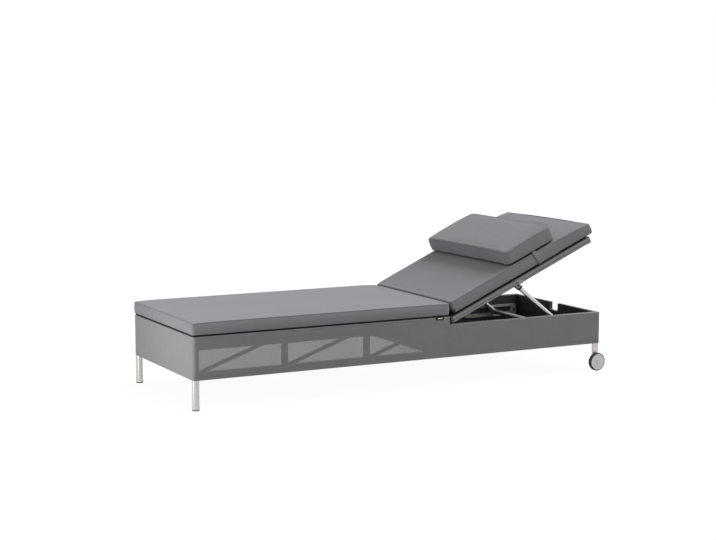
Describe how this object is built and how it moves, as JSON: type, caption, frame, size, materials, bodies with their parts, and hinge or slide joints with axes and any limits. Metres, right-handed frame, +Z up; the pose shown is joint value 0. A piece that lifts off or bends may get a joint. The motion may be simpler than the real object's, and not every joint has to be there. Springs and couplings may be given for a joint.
{
  "type": "adjustable lounger",
  "caption": "Cushioned lounger with an open-weave box frame, a backrest on a notched stay, a strapped pillow, legs at the foot and wheels at the head.",
  "frame": {"origin": "on the floor, under the middle of the whole lounger, wheels included", "axes": "+X from the foot end to the head end, +Y to the right of a person lying face up with the head on the pillow, which is the far side in the picture, +Z up"},
  "size_m": [2.0198, 0.7464, 0.6773],
  "materials": {
    "cushion_cloth": "woven",
    "woven_mesh": "open weave",
    "coated_frame": "matt powder coat",
    "brushed_steel": "brushed",
    "bright_pins": "turned",
    "rack_metal": "satin",
    "black_board": "matt",
    "black_plastic": "moulded",
    "hub_plastic": "satin",
    "tyre_rubber": "matt"
  },
  "bodies": {
    "base": {"seat_cushion": "cushion_cloth", "seat_sling": "woven_mesh", "foot_skirt": "woven_mesh", "head_skirt": "woven_mesh", "side_skirt_left": "woven_mesh", "side_skirt_right": "woven_mesh", "seat_rail_left": "coated_frame", "seat_rail_right": "coated_frame", "lower_rail_left": "coated_frame", "lower_rail_right": "coated_frame", "post_1_left": "coated_frame", "post_1_right": "coated_frame", "post_2_left": "coated_frame", "post_2_right": "coated_frame", "brace_1_left": "coated_frame", "brace_1_right": "coated_frame", "brace_2_left": "coated_frame", "brace_2_right": "coated_frame", "brace_3_left": "coated_frame", "brace_3_right": "coated_frame", "leg_left": "brushed_steel", "leg_right": "brushed_steel", "head_rails": "coated_frame", "foot_top_rail": "coated_frame", "foot_lower_rail": "coated_frame", "hinge_rail": "coated_frame", "middle_lower_rail": "coated_frame", "seat_bearer": "coated_frame", "hinge_posts": "coated_frame", "wheel_posts": "brushed_steel", "levelling_feet": "brushed_steel", "glide_pads": "black_plastic", "head_end_board": "black_board", "well_lining": "black_board", "rack_plates": "rack_metal", "rack_bolts": "bright_pins", "strap_keepers": "brushed_steel", "hinge_plates": "coated_frame", "hinge_pins": "bright_pins", "wheel_axles": "bright_pins"},
    "backrest": {"back_base_rail": "coated_frame", "back_stay_rail": "coated_frame", "back_top_rail": "coated_frame", "back_rail_left": "coated_frame", "back_rail_right": "coated_frame", "back_sling": "woven_mesh", "back_cushion": "cushion_cloth", "hinge_blocks": "black_plastic", "stay_brackets": "brushed_steel", "stay_pins": "bright_pins"},
    "headrest": {"headrest_pillow": "cushion_cloth", "headrest_band": "cushion_cloth"},
    "stay": {"stay_arm_left": "brushed_steel", "stay_arm_right": "brushed_steel", "stay_bar": "brushed_steel", "stay_fittings": "black_plastic"},
    "wheel_left": {"tyre_left": "tyre_rubber", "hub_left": "hub_plastic"},
    "wheel_right": {"tyre_right": "tyre_rubber", "hub_right": "hub_plastic"}
  },
  "joints": [
    {"name": "backrest_hinge", "type": "hinge", "parent": "base", "child": "backrest", "pos_m": [0.1981, 0, 0.285], "axis": [0, -1, 0], "range_deg": [-23.8, 12.2]},
    {"name": "stay_pivot", "type": "hinge", "parent": "backrest", "child": "stay", "pos_m": [0.56441, 0, 0.41224], "axis": [0, -1, 0], "range_deg": [-28.4, 55.1]},
    {"name": "headrest_slide", "type": "slide", "parent": "backrest", "child": "headrest", "axis": [0.915, 0, 0.4035], "range_m": [-0.1, 0.15]},
    {"name": "wheel_left_spin", "type": "hinge", "parent": "base", "child": "wheel_left", "pos_m": [0.9689, -0.3605, 0.041], "axis": [0, 1, 0], "continuous": true},
    {"name": "wheel_right_spin", "type": "hinge", "parent": "base", "child": "wheel_right", "pos_m": [0.9689, 0.3605, 0.041], "axis": [0, 1, 0], "continuous": true}
  ],
  "couplings": [
    {"joint": "stay_pivot", "follows": "backrest_hinge", "ratio": -2.3}
  ]
}
